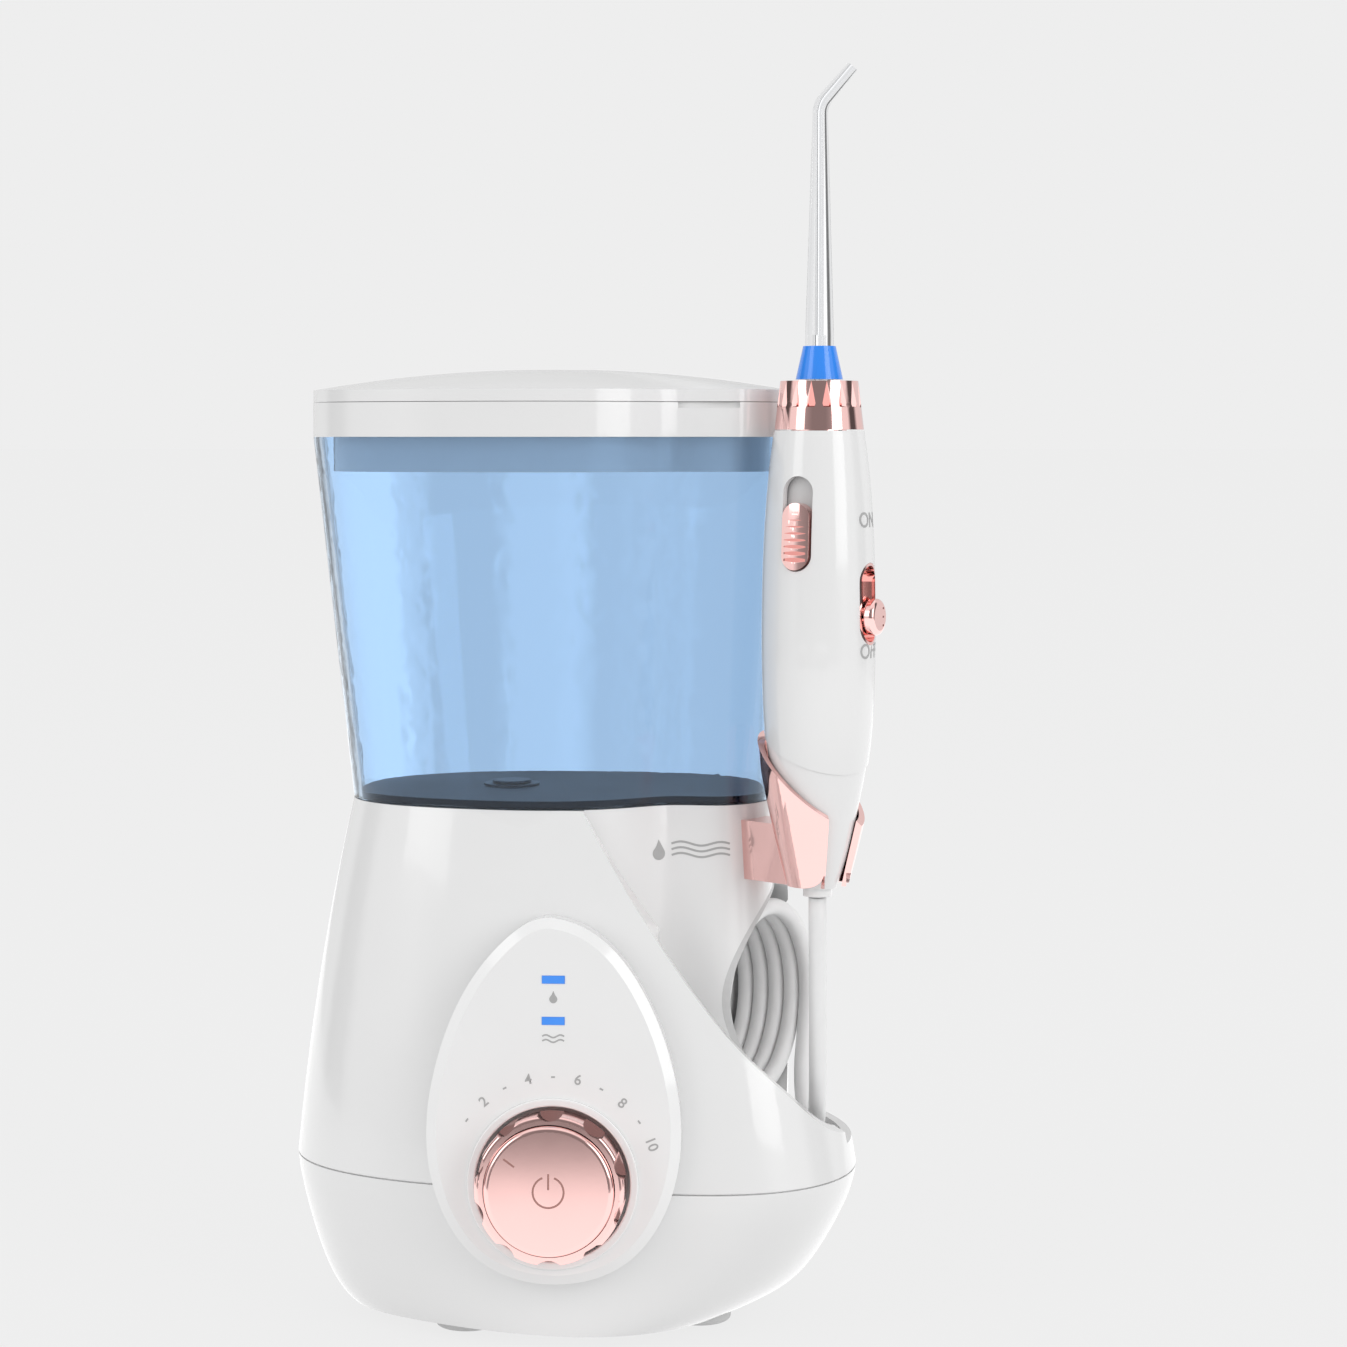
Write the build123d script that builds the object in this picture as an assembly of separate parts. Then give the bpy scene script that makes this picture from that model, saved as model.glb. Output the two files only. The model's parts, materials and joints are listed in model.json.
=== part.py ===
from build123d import *
import math
import os

# Countertop water flosser: a pump base with a lift-off reservoir and lid, a pressure dial on an egg-shaped
# panel, a hose coiled in a side cup, and a handle standing in a cradle with a jet tip in its collar.
# Millimetres, +Z up. The layout is drawn about a vertical line a little left of the middle of the base;
# LAYOUT_SHIFT moves every part when it is written, so that the origin is on the surface the feet stand on,
# under the middle of the flosser. The user stands on the -Y side.

LAYOUT_SHIFT = (-7.3, 9.0, 0.0)

# ---- driving dimensions: heights ----
FOOT_H = 4.6
BASE_BOTTOM_Z = 4.0
PARTING_Z = 43.0          # joint between the lower and the upper casing
NECK_Z = 139.5            # top of the casing, seat of the reservoir
TANK_GAP = 0.3            # the reservoir stands this far above the casing's top, on the seat ring
TANK_TOP_Z = 236.0
LID_SEAM_Z = 245.0        # joint between the lid tray and its hinged cover
COVER_EDGE_Z = 248.3
COVER_TOP_Z = 254.0
WALL = 2.5                # casing wall
TANK_WALL = 2.0

# ---- driving dimensions: outlines, anticlockwise from the left end, seen from above ----
BASE_OUTLINE = [
    (-72.0, -4.0), (-62.0, -29.0), (-36.0, -45.0), (0.0, -52.0), (26.0, -54.5), (44.0, -55.0), (60.0, -51.0),
    (73.5, -39.0), (79.8, -17.0), (73.0, 11.0), (53.0, 38.0), (14.0, 53.0), (-30.0, 49.0), (-61.0, 28.0),
]
BOTTOM_OUTLINE = [
    (-57.0, -4.0), (-50.5, -26.0), (-30.0, -40.0), (0.0, -50.0), (18.0, -49.5), (33.0, -42.0), (44.0, -29.0),
    (50.0, -17.0), (55.0, -4.0), (52.0, 13.0), (39.0, 32.0), (12.0, 45.0), (-26.0, 43.0), (-48.0, 24.0),
]
SKIRT_TOP_OUTLINE = [
    (-56.0, -3.0), (-48.0, -24.0), (-25.0, -36.0), (3.0, -39.3), (20.0, -39.8), (34.0, -38.5), (46.0, -34.0),
    (54.5, -23.0), (57.5, -3.0), (54.0, 17.0), (37.0, 32.0), (6.0, 37.5), (-28.0, 34.0), (-49.0, 19.0),
]
NECK_OUTLINE = [
    (-56.0, -3.0), (-48.0, -24.0), (-25.0, -36.0), (3.0, -39.3), (20.0, -32.5), (32.0, -25.5), (44.0, -26.0),
    (53.0, -19.5), (57.5, -3.0), (54.0, 17.0), (37.0, 32.0), (6.0, 37.5), (-28.0, 34.0), (-49.0, 19.0),
]
COLUMN_FOOT_OUTLINE = [
    (-56.0, -3.0), (-48.0, -24.0), (-25.0, -37.5), (3.0, -44.0), (20.0, -40.5), (32.0, -35.0), (45.0, -35.4),
    (55.5, -27.0), (58.5, -3.0), (54.0, 17.0), (37.0, 32.0), (6.0, 37.5), (-28.0, 34.0), (-49.0, 19.0),
]
RIM_OUTLINE = [
    (-66.0, -3.4), (-57.0, -28.0), (-31.0, -42.5), (2.0, -46.5), (22.0, -39.0), (35.0, -31.5), (47.5, -32.0),
    (57.5, -24.0), (62.0, -3.0), (58.0, 21.0), (40.0, 38.0), (6.0, 44.5), (-32.0, 41.0), (-58.0, 24.0),
]
OUTLINE_CENTRE = (-2.0, 0.0)

# ---- driving dimensions: front skirt and hose well ----
CREASE = [(9.0, 138.6), (20.0, 119.6), (34.0, 98.6), (50.0, 78.6), (64.0, 64.6), (73.0, 55.6), (84.0, 50.5)]
SKIRT_BULGE = 1.6         # how far the casing's side bows out half way up
COLUMN_STEP = 0.3         # the column's wall stands this far inside the reservoir's outline
SIDE_X = 61.0             # flat right side of the casing behind the column, where the cup opens
SIDE_Y = 4.0              # front end of that flat side
WELL_RIM_Z = 50.0
WELL_LEFT_X = 28.0
WELL_FLOOR_Z = 46.0
PARTING_GROOVE = (0.45, 1.0)    # height and depth of the line between the two casings

# ---- driving dimensions: front panel and dial, measured on the panel's own plane ----
DIAL_CENTRE = (2.5, -60.0, 46.5)
PANEL_TILT = 4.0          # degrees, top leans back
EGG_HALF = [(12.5, 62.0), (22.5, 49.5), (30.0, 31.0), (32.6, 11.0), (29.0, -6.5), (18.5, -20.5)]
EGG_TOP = 67.5
EGG_BOTTOM = -26.0
DIAL_R = 19.0
DIAL_FLUTES = 10
FLUTE_R = 4.4
DIAL_H = 11.0
DIAL_GAP = 0.7            # the dial's skirt stands clear of the recess floor
BUTTON_R = 16.5
BUTTON_TRAVEL = 1.5
RECESS_R = 19.8
BEZEL_R = 21.9
SHAFT_R = 3.0
INDICATOR_Y = (52.0, 41.5)
INDICATOR_SIZE = (5.8, 2.0)

# ---- driving dimensions: hose, coil and cup ----
HOSE_D = 4.7
COIL_CENTRE = (45.3, 2.8, 84.0)
CUP_CENTRE_Z = 85.8
CUP_TURN = -24.0          # heading of the cup's axis, degrees from +X
COIL_R = 25.0             # to the hose's centre line
COIL_TURNS = 4
CUP_R = 29.4
CUP_WALL = 1.5
CUP_DEPTH = 10.4          # behind the coil's centre

# ---- driving dimensions: handle ----
HANDLE_X = 69.4
HANDLE_Y = -34.4
HANDLE_PROFILE = [(11.6, 237.6), (13.6, 220.0), (14.7, 194.0), (14.5, 170.0), (13.3, 154.0)]
CAP_PROFILE = [(13.3, 154.0), (11.1, 141.6), (7.3, 125.2), (5.2, 119.4)]
HANDLE_END_Z = 117.2
HANDLE_WALL = 2.2
SEAM_Z = 155.5            # oblique joint between the handle's shell and its end cap
SEAM_TILT = 24.0
SEAM_HEADING = 36.0       # the joint is lowest here, degrees from -Y towards +X
COLLAR_Z = 237.9
COLLAR_H = 12.4
COLLAR_R = (11.5, 10.0)
COLLAR_GROOVES = 16
TIP_RING_Z = (250.7, 259.2)
TIP_RING_R = (6.1, 4.2)
TIP_R = (3.65, 2.1, 1.7)
TIP_BORE_R = 0.8
TIP_KNEE_Z = 318.0
TIP_END = (77.6, 330.0)
EJECT_HEADING = -24.0     # heading of the tip release, degrees from -Y towards +X
EJECT_Z = 210.8
EJECT_SIZE = (7.4, 17.0)
EJECT_TRAVEL = 4.0
SWITCH_HEADING = 66.0     # heading of the flow switch
SWITCH_Z = 193.4
SWITCH_SIZE = (10.0, 21.0)
SWITCH_TRAVEL = 7.0

# ---- driving dimensions: cradle ----
CRADLE_WALL = 1.7
CRADLE_GAP = 0.35
CRADLE_Z = (120.0, 162.0)
CRADLE_MOUTH = 43.0       # heading of the mouth, degrees from -Y towards +X
CRADLE_MOUTH_HALF = 34.0
CRADLE_RIM = (146.0, 60.0, 41.0)    # height on the axis, heading of the lowest point, slope in degrees
# rounded bottom corners of the plates beside the mouth: distance from its middle, radius
CRADLE_CORNERS = [(-4.8, 3.5), (4.8, 3.5)]

# ---- driving dimensions: drive train ----
GEAR_MODULE = 0.8
PINION_TEETH = 12
WHEEL_TEETH = 48
MOTOR_AXIS = (-31.0, 8.0)
WHEEL_AXIS = (-7.0, 8.0)
GEAR_Z = 56.0
GEAR_T = 5.0
CAM_R = 8.0
CAM_OFFSET = 3.0


def write(shape, name):
    """Move a finished part into the flosser's frame and write it as its own node."""
    export_step(Pos(*LAYOUT_SHIFT) * shape, f"parts/{name}.step")


def inset(points, distance):
    """The outline's points moved inwards, square to the chord between their neighbours."""
    moved = []
    for i, (x, y) in enumerate(points):
        before = points[i - 1]
        after = points[(i + 1) % len(points)]
        dx, dy = after[0] - before[0], after[1] - before[1]
        chord = math.hypot(dx, dy)
        moved.append((x - dy / chord * distance, y + dx / chord * distance))
    return moved


def blend(low, high, share):
    """The outline part of the way from one outline to another."""
    return [(a[0] + (b[0] - a[0]) * share, a[1] + (b[1] - a[1]) * share) for a, b in zip(low, high)]


def section(points, z):
    """A smooth closed outline as a face at height z."""
    curve = Spline(*[(x, y, z) for x, y in points], periodic=True)
    return Face(Wire([curve.edge()]))


def prism(points, z0, z1):
    """A straight-sided solid over an outline."""
    return extrude(section(points, z0), amount=z1 - z0, dir=(0, 0, 1))


def lofted(*levels):
    """A solid through (outline, height) levels."""
    return loft([section(points, z) for points, z in levels])


def scaled(points, factor):
    """An outline shrunk towards the middle of the flosser."""
    cx, cy = OUTLINE_CENTRE
    return [(cx + (x - cx) * factor, cy + (y - cy) * factor) for x, y in points]


def tube(outer, inner, z0, z1):
    """A round tube about the Z axis."""
    ring = Cylinder(outer, z1 - z0, align=(Align.CENTER, Align.CENTER, Align.MIN))
    ring -= Cylinder(inner, z1 - z0, align=(Align.CENTER, Align.CENTER, Align.MIN))
    return Pos(0, 0, z0) * ring


def rod(radius, z0, z1):
    """A round rod about the Z axis."""
    return Pos(0, 0, z0) * Cylinder(radius, z1 - z0, align=(Align.CENTER, Align.CENTER, Align.MIN))


def revolved(profile):
    """A solid of revolution about Z through (radius, height) points, joined by a smooth curve."""
    points = sorted(profile, key=lambda p: p[1])
    curve = Spline(*[(r, 0, z) for r, z in points])
    low, high = points[0], points[-1]
    rest = Polyline((high[0], 0, high[1]), (0, 0, high[1]), (0, 0, low[1]), (low[0], 0, low[1]))
    return revolve(make_face(curve + rest), Axis.Z)


def cone(r0, r1, z0, z1):
    """A truncated cone about the Z axis."""
    return Pos(0, 0, z0) * Cone(r0, r1, z1 - z0, align=(Align.CENTER, Align.CENTER, Align.MIN))


def block(x, y, z):
    """A box from (low, high) pairs."""
    size = (x[1] - x[0], y[1] - y[0], z[1] - z[0])
    return Pos(x[0], y[0], z[0]) * Box(*size, align=(Align.MIN, Align.MIN, Align.MIN))


def on_handle(shape):
    """Place a shape drawn about the Z axis on the handle's axis."""
    return Pos(HANDLE_X, HANDLE_Y, 0) * shape


def on_panel(shape):
    """Place a shape drawn on XY about the origin on the panel's face, +Z outwards, Y up the face."""
    return Pos(*DIAL_CENTRE) * Rot(90 - PANEL_TILT, 0, 0) * shape


def on_cup(shape):
    """Place a shape drawn about the Z axis on the cup's axis, +Z out of the mouth, origin at the coil."""
    return Pos(*COIL_CENTRE) * Rot(0, 0, CUP_TURN) * Rot(0, 90, 0) * shape


CUP_RISE = CUP_CENTRE_Z - COIL_CENTRE[2]


# ---- casing ----
def skirt_solid(clearance=0.0):
    """The bell of the upper casing before it is cut, or its inside when a clearance is given."""
    half = blend(BASE_OUTLINE, SKIRT_TOP_OUTLINE, 0.5)
    return lofted(
        (inset(BASE_OUTLINE, clearance), PARTING_Z),
        (inset(half, clearance - SKIRT_BULGE), (PARTING_Z + NECK_Z) / 2),
        (inset(SKIRT_TOP_OUTLINE, clearance), NECK_Z - (WALL if clearance else 0)),
    )


def above_crease(offset=0.0):
    """Everything above and right of the skirt's diagonal edge, and beyond the flat side behind it."""
    points = [(x - offset, -80, z - offset) for x, z in CREASE]
    edge = Spline(*points)
    far = 100.0
    start, end, top = points[0], points[-1], 160
    rest = Polyline(end, (far, -80, end[2]), (far, -80, top), (start[0], -80, top), start)
    front = extrude(make_face(edge + rest), amount=80 + SIDE_Y + offset, dir=(0, 1, 0))
    return front + block((SIDE_X - offset, far), (-26.0 - offset, 80), (WELL_RIM_Z - offset, 160))


def well_space(outer=0.0, floor=WELL_FLOOR_Z):
    """The open well between the skirt and the column, where the hose turns up into its cup."""
    front, far, top = -75, 95, 160
    beside_column = block((WELL_LEFT_X - outer, far), (front, SIDE_Y - 2.0 + outer), (floor, top))
    behind = block((SIDE_X + 1.0 - outer, far), (front, SIDE_Y + 5.0 + outer), (floor, top))
    return beside_column + behind


def column_solid(clearance=0.0, high=NECK_Z):
    """The column under the reservoir; its front leans out towards the foot."""
    share = (high - PARTING_Z) / (NECK_Z - PARTING_Z)
    step = COLUMN_STEP + clearance
    return lofted(
        (inset(COLUMN_FOOT_OUTLINE, step), PARTING_Z),
        (inset(blend(COLUMN_FOOT_OUTLINE, NECK_OUTLINE, share), step), high),
    )


def casing_outside():
    """The upper casing's outer shape, filled."""
    well = well_space() & skirt_solid(WALL)
    return ((skirt_solid() - above_crease()) - well) + column_solid()


def cup_pocket():
    """The round hole in the column's side that the hose cup fills."""
    return on_cup(Pos(-CUP_RISE, 0, 0) * rod(CUP_R + CUP_WALL + 0.02, -CUP_DEPTH - CUP_WALL, 40))


def dial_passage():
    """The hole behind the panel for the dial's shaft and its valve."""
    return on_panel(rod(13.0, -45, 0))


def upper_casing():
    shape = casing_outside()
    room = (skirt_solid(WALL) - above_crease(WALL + 0.8)) - well_space(WALL, PARTING_Z)
    room += column_solid(WALL, NECK_Z - WALL)
    shape -= room
    shape -= cup_pocket()
    shape -= dial_passage()
    shape -= Pos(*TANK_PORT) * rod(9.0, NECK_Z - 10, NECK_Z + 1)
    return shape


def bowl_solid(clearance=0.0):
    """The lower casing's rounded bowl."""
    levels = [(0.0, PARTING_Z), (0.14, 31.0), (0.42, 17.5), (0.74, 8.0), (1.0, BASE_BOTTOM_Z)]
    rise = (PARTING_Z - BASE_BOTTOM_Z - clearance) / (PARTING_Z - BASE_BOTTOM_Z)
    return lofted(*[
        (inset(blend(BASE_OUTLINE, BOTTOM_OUTLINE, share), clearance), PARTING_Z - (PARTING_Z - z) * rise)
        for share, z in levels
    ])


FOOT_PLACES = [(-23.5, -26.0), (38.0, -17.5), (34.0, 25.0), (-28.0, 27.0)]
SCREW_PLACES = [(-48.0, 4.0), (46.0, 4.0), (4.0, 34.0)]
TANK_PORT = (-14.0, 2.0, 0.0)
GLAND_AT = (-8.0, 24.0)


def lower_casing():
    shape = bowl_solid() - bowl_solid(WALL)
    for x, y in SCREW_PLACES:
        post = rod(4.0, BASE_BOTTOM_Z + 1, PARTING_Z - 1) - rod(1.5, 0, PARTING_Z)
        shape += Pos(x, y, 0) * post
        shape -= Pos(x, y, 0) * rod(2.9, BASE_BOTTOM_Z - 1, BASE_BOTTOM_Z + 3)
        shape -= Pos(x, y, 0) * rod(1.5, 0, PARTING_Z)
    shape -= dial_passage()
    shape -= Pos(GLAND_AT[0], 0, GLAND_AT[1]) * Rot(-90, 0, 0) * rod(5.0, 30, 70)
    height, depth = PARTING_GROOVE
    groove = prism(inset(BASE_OUTLINE, -1.0), PARTING_Z - height, PARTING_Z + 1)
    return shape - (groove - prism(inset(BASE_OUTLINE, depth), PARTING_Z - height - 1, PARTING_Z + 2))


def casing_screw(x, y):
    head = rod(2.7, BASE_BOTTOM_Z + 0.6, BASE_BOTTOM_Z + 2.9)
    shank = rod(1.45, BASE_BOTTOM_Z + 2.8, BASE_BOTTOM_Z + 24)
    slot = block((-2.0, 2.0), (-0.35, 0.35), (BASE_BOTTOM_Z, BASE_BOTTOM_Z + 1.5))
    return Pos(x, y, 0) * (head + shank - slot)


def foot(x, y):
    pad = Pos(0, 0, FOOT_H / 2) * Cylinder(8.5, FOOT_H)
    pad = fillet(pad.edges().group_by(Axis.Z)[0], 1.2)
    return Pos(x, y, 0) * pad - bowl_solid()


def cord_gland():
    """Bushing in the back wall where a mains lead would come out."""
    place = Pos(GLAND_AT[0], 0, GLAND_AT[1]) * Rot(-90, 0, 0)
    flange = (place * rod(7.0, 46.0, 55.6)) - bowl_solid()
    return flange + place * rod(4.95, 44.0, 53.3) - place * rod(2.9, 40, 60)


# ---- panel and dial ----
def egg_face():
    points = [(0.0, EGG_TOP)] + EGG_HALF + [(0.0, EGG_BOTTOM)] + [(-x, y) for x, y in reversed(EGG_HALF)]
    return Face(Wire([Spline(*points, periodic=True).edge()]))


def control_panel(casings):
    plate = extrude(egg_face(), amount=22.0, dir=(0, 0, -1))
    plate = chamfer(plate.edges().group_by(Axis.Z)[-1], 1.6, 2.6)
    plate -= rod(RECESS_R, -4.0, 1)
    plate -= rod(SHAFT_R + 0.1, -30, 1)
    for y in INDICATOR_Y:
        plate -= Pos(0, y, 0) * Box(INDICATOR_SIZE[0] + 0.1, INDICATOR_SIZE[1] + 0.1, 6)
    panel = on_panel(plate)
    for casing in casings:
        panel -= casing
    return max(panel.solids(), key=lambda solid: solid.volume)


def dial_bezel():
    ring = tube(BEZEL_R, RECESS_R, 0, 1.2)
    return on_panel(fillet(ring.edges().group_by(Axis.Z)[-1], 0.5))


def pressure_dial():
    """Fluted ring with a back plate and a shaft; the power button sits in its front."""
    ring = rod(DIAL_R, -4.0 + DIAL_GAP, DIAL_H)
    ring = fillet(ring.edges().group_by(Axis.Z)[-1], 1.2)
    for i in range(DIAL_FLUTES):
        angle = math.radians(90 + 360 / DIAL_FLUTES * i)
        away = DIAL_R + FLUTE_R - 1.5
        ring -= Pos(away * math.cos(angle), away * math.sin(angle), 0) * rod(FLUTE_R, 1.5, DIAL_H + 1)
    ring -= rod(BUTTON_R + 0.2, 2.0, DIAL_H + 1)
    shaft = rod(SHAFT_R, -24.0, -3.0)
    return on_panel(ring + shaft)


def power_button():
    disc = rod(BUTTON_R, 2.0 + BUTTON_TRAVEL + 0.3, DIAL_H + 1.6)
    disc = fillet(disc.edges().group_by(Axis.Z)[-1], 1.4)
    return on_panel(disc)


def pressure_valve():
    """Valve block behind the panel that the dial's shaft turns in."""
    body = rod(10.0, -40.0, -17.0) - rod(SHAFT_R + 0.06, -24.3, -16.0)
    port = Pos(0, 0, -33.0) * Rot(-90, 0, 0) * rod(3.0, 0, 16)
    return on_panel(body + port)


def indicator_lens(y):
    lens = Pos(0, y, -0.9) * Box(INDICATOR_SIZE[0], INDICATOR_SIZE[1], 2.1)
    return on_panel(lens)


# ---- hose cup, coil and hose ----
def hose_cup(outside):
    shell = rod(CUP_R + CUP_WALL, -CUP_DEPTH - CUP_WALL, 40) - rod(CUP_R, -CUP_DEPTH, 41)
    cup = on_cup(Pos(-CUP_RISE, 0, 0) * shell) & outside
    cup -= on_cup(Pos(-COIL_R, 0, 0) * rod(HOSE_D / 2 + 0.05, -30, 0))
    return max(cup.solids(), key=lambda solid: solid.volume)


def hose_coil():
    half = COIL_TURNS * HOSE_D / 2
    return on_cup(tube(COIL_R + HOSE_D / 2, COIL_R - HOSE_D / 2, -half, half))


def hose_nipple():
    """Barbed outlet in the cup's floor that the inner end of the hose is pushed onto."""
    barb = rod(HOSE_D / 2, -CUP_DEPTH - 14, -COIL_TURNS * HOSE_D / 2 - 0.2)
    nut = rod(5.0, -CUP_DEPTH - 8, -CUP_DEPTH - CUP_WALL - 0.1)
    return on_cup(Pos(-COIL_R, 0, 0) * (barb + nut))


def cup_point(out, along, up):
    """A point in the cup's own directions: out of the mouth, along the wall, and up."""
    turn = math.radians(CUP_TURN)
    x = COIL_CENTRE[0] + out * math.cos(turn) - along * math.sin(turn)
    y = COIL_CENTRE[1] + out * math.sin(turn) + along * math.cos(turn)
    return (x, y, COIL_CENTRE[2] + up)


def loop_point(out, degrees):
    """A corner of the eight-sided path round the coil, so that its arcs keep to the coil's radius."""
    corner = COIL_R / math.cos(math.radians(22.5))
    angle = math.radians(degrees)
    return cup_point(out, corner * math.cos(angle), corner * math.sin(angle))


LEAD_OUT = COIL_TURNS * HOSE_D / 2 + HOSE_D / 2 + 0.15
HOSE_ROUTE = [
    (HANDLE_X, HANDLE_Y, HANDLE_END_Z - 0.4),
    (HANDLE_X + 0.3, HANDLE_Y + 4.9, 62.0),
    cup_point(30.0, -9.0, -32.5),
    cup_point(21.0, 5.0, -34.0),
    cup_point(13.0, 17.0, -26.0),
] + [loop_point(LEAD_OUT, degrees) for degrees in (-22.5, 22.5, 67.5, 110.0)]


def hose_lead():
    """The uncoiled stretch of hose, from the handle down to the outer turn of the coil."""
    route = [Vector(*p) for p in HOSE_ROUTE]
    radii = []
    for before, here, after in zip(route, route[1:], route[2:]):
        turn = math.radians((here - before).get_angle(after - here))
        shorter = min((here - before).length, (after - here).length)
        radii.append(round(0.45 * shorter / math.tan(turn / 2), 2))
    print("hose radii", radii)
    path = FilletPolyline(*route, radius=radii)
    start = Plane(path @ 0, z_dir=path % 0)
    hose = sweep(start * Circle(HOSE_D / 2), path)
    print("hose length", round(path.length, 1), "volume ratio",
          round(hose.volume / (math.pi * HOSE_D ** 2 / 4 * path.length), 4))
    return hose


# ---- cradle ----
def corner_cutter(u, z, radius):
    """Takes the sharp lower corner off a plate beside the cradle's mouth, which faces -Y here."""
    side = math.copysign(1.0, u)
    square = block(sorted((u - side, u + side * radius)), (-40, 0), (z - 8.0, z + radius))
    return square - Pos(u + side * radius, 0, z + radius) * Rot(90, 0, 0) * rod(radius, -1, 41)


def cradle():
    """Conical seat on an arm, open towards the front right so the hose can pass."""
    low, high = CRADLE_Z
    wall, gap = CRADLE_WALL, CRADLE_GAP
    outer = revolved([(r + gap + wall, z) for r, z in CAP_PROFILE[:3]] + [(8.0, low), (15.7, high)])
    inner = revolved([(r + gap, z) for r, z in CAP_PROFILE[:3]] + [(6.3, low - 1.0), (14.0, high + 1)])
    shell = outer - inner
    reach = 40.0
    half = math.radians(CRADLE_MOUTH_HALF)
    wedge = Polyline(
        (0, 0), (reach * math.sin(half), -reach), (-reach * math.sin(half), -reach), close=True,
    )
    mouth = extrude(make_face(wedge), amount=80, dir=(0, 0, 1))
    shell -= Pos(0, 0, low - 5) * Rot(0, 0, CRADLE_MOUTH) * mouth
    for u, radius in CRADLE_CORNERS:
        shell -= Rot(0, 0, CRADLE_MOUTH) * corner_cutter(u, low, radius)
    # the rim slopes from its high point by the column down to the mouth
    height, heading, slope = CRADLE_RIM
    shell -= Pos(0, 0, height) * Rot(0, 0, heading) * Rot(slope, 0, 0) * block((-60, 60), (-60, 60), (0, 60))
    arm = Rot(0, 0, 138) * block((0, 26), (-5.5, 5.5), (low, 135.5)) - outer
    return on_handle(shell + arm) - column_solid()


# ---- handle ----
def seam_half_space():
    """Everything below the oblique joint between the handle's shell and its end cap."""
    tilted = Rot(0, 0, SEAM_HEADING) * Rot(SEAM_TILT, 0, 0) * block((-60, 60), (-60, 60), (-90, 0))
    return Pos(0, 0, SEAM_Z) * tilted


def handle_outside():
    return revolved(HANDLE_PROFILE + CAP_PROFILE[1:])


def side_slot(heading, z, width, height, depth):
    """A round-ended bar lying on the handle's side, from the axis outwards."""
    bar = extrude(SlotOverall(height, width, rotation=90), amount=depth)
    return Rot(0, 0, heading) * Pos(0, 0, z) * Rot(90, 0, 0) * bar


def handle_shell():
    outside = handle_outside()
    shape = outside - seam_half_space()
    shape -= revolved([(r - HANDLE_WALL, z) for r, z in HANDLE_PROFILE + CAP_PROFILE[1:]])
    shape += tube(11.4, 7.3, 232.0, 237.6) & outside
    shape -= side_slot(EJECT_HEADING, EJECT_Z + 3.2, EJECT_SIZE[0] + 0.8, EJECT_SIZE[1] + 7.2, 30)
    shape -= side_slot(SWITCH_HEADING, SWITCH_Z, SWITCH_SIZE[0] + 0.1, SWITCH_SIZE[1] + 0.1, 30)
    return on_handle(shape)


def handle_end_cap():
    outside = revolved([(r - 0.35, z) for r, z in HANDLE_PROFILE + CAP_PROFILE[1:]])
    shape = outside & seam_half_space()
    hollow = [(r - HANDLE_WALL, z) for r, z in HANDLE_PROFILE[2:] + CAP_PROFILE[1:3]]
    shape -= revolved(hollow + [(2.4, 121.0)])
    shape -= rod(2.4, 110, 125)
    return on_handle(shape)


def strain_relief():
    """Short collar at the handle's foot, round the end of the hose."""
    return on_handle(rod(3.7, HANDLE_END_Z, 119.4) + rod(2.35, 119.3, 127.0))


def eject_track():
    """Floor of the tip release's recess."""
    outer = revolved([(r - 2.6, z) for r, z in HANDLE_PROFILE])
    inner = revolved([(r - 4.0, z) for r, z in HANDLE_PROFILE])
    slot = side_slot(EJECT_HEADING, EJECT_Z + 3.2, EJECT_SIZE[0] + 2.6, EJECT_SIZE[1] + 9.0, 30)
    return on_handle((outer - inner) & slot)


def tip_release():
    """Ribbed slider that frees the jet tip."""
    pad = side_slot(EJECT_HEADING, EJECT_Z, EJECT_SIZE[0], EJECT_SIZE[1], 30)
    outer = revolved([(r + 0.9, z) for r, z in HANDLE_PROFILE])
    inner = revolved([(r - 2.2, z) for r, z in HANDLE_PROFILE])
    slider = (outer - inner) & pad
    slider = max(slider.solids(), key=lambda solid: solid.volume)
    ribs = 8
    for i in range(ribs):
        z = EJECT_Z - EJECT_SIZE[1] / 2 + 2.6 + i * (EJECT_SIZE[1] - 5.2) / (ribs - 1)
        groove = Rot(45, 0, 0) * Box(EJECT_SIZE[0] - 1.4, 0.9, 0.9)
        slider -= Rot(0, 0, EJECT_HEADING) * Pos(0, -15.35, z) * groove
    return on_handle(slider)


def switch_recess():
    """Dished plate that the flow switch runs in."""
    plate = side_slot(SWITCH_HEADING, SWITCH_Z, SWITCH_SIZE[0], SWITCH_SIZE[1], 30)
    plate &= handle_outside()
    plate -= revolved([(r - 4.6, z) for r, z in HANDLE_PROFILE])
    plate = max(plate.solids(), key=lambda solid: solid.volume)
    dish = side_slot(SWITCH_HEADING, SWITCH_Z, SWITCH_SIZE[0] - 1.4, SWITCH_SIZE[1] - 1.4, 30)
    plate -= dish - revolved([(r - 3.2, z) for r, z in HANDLE_PROFILE])
    return on_handle(plate)


def flow_switch():
    """Round thumb button on a stem, at its lower, closed end of travel."""
    z = SWITCH_Z - SWITCH_TRAVEL / 2 + 0.2
    stem = Pos(0, 0, 0) * rod(2.2, 11.8, 14.6)
    button = rod(4.7, 14.5, 17.3)
    button = fillet(button.edges().group_by(Axis.Z)[-1], 1.2)
    button = fillet(button.edges().group_by(Axis.Z)[0], 0.5)
    knob = button + stem
    for y in (-2.2, 0.0, 2.2):
        knob -= Pos(0, y, 17.4) * Box(5.0, 0.5, 0.6)
    return on_handle(Rot(0, 0, SWITCH_HEADING) * Pos(0, 0, z) * Rot(90, 0, 0) * knob)


def handle_core():
    """Water passage and valve block inside the handle."""
    passage = rod(2.4, 127.1, 231.9)
    valve = rod(6.5, 184.0, 204.0)
    return on_handle(passage + valve)


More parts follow.
